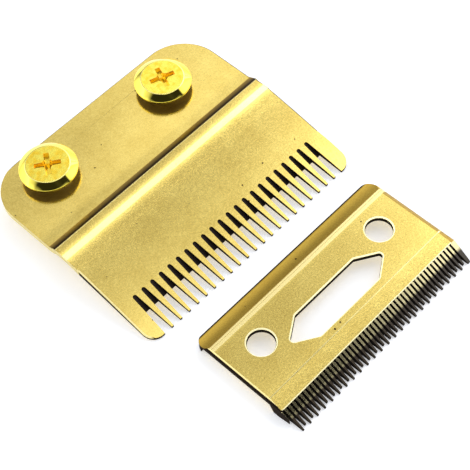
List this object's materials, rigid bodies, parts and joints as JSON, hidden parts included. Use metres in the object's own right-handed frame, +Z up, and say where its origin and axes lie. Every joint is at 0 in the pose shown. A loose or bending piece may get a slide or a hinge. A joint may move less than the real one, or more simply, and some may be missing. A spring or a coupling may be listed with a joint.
{
  "type": "hair clipper blade",
  "caption": "Two-part hair clipper blade: bent comb plate with slotted teeth held by cross-head screws, and a separate fine-toothed cutter with holes and a pointed drive slot.",
  "frame": {"origin": "on the surface that the set lies on, at the middle of its overall length and width", "axes": "+X along the tooth rows, +Y from the tooth tips back to the comb blade's flange, +Z up"},
  "size_m": [0.0458, 0.0654, 0.0066],
  "materials": {
    "gold_coated_steel": "satin gold coating over ground steel",
    "yellow_plated_steel": "bright yellow plating"
  },
  "bodies": {
    "root": {"fixed_blade": "gold_coated_steel", "cutter_blade": "gold_coated_steel", "screw_left": "yellow_plated_steel", "screw_right": "yellow_plated_steel"}
  },
  "joints": []
}
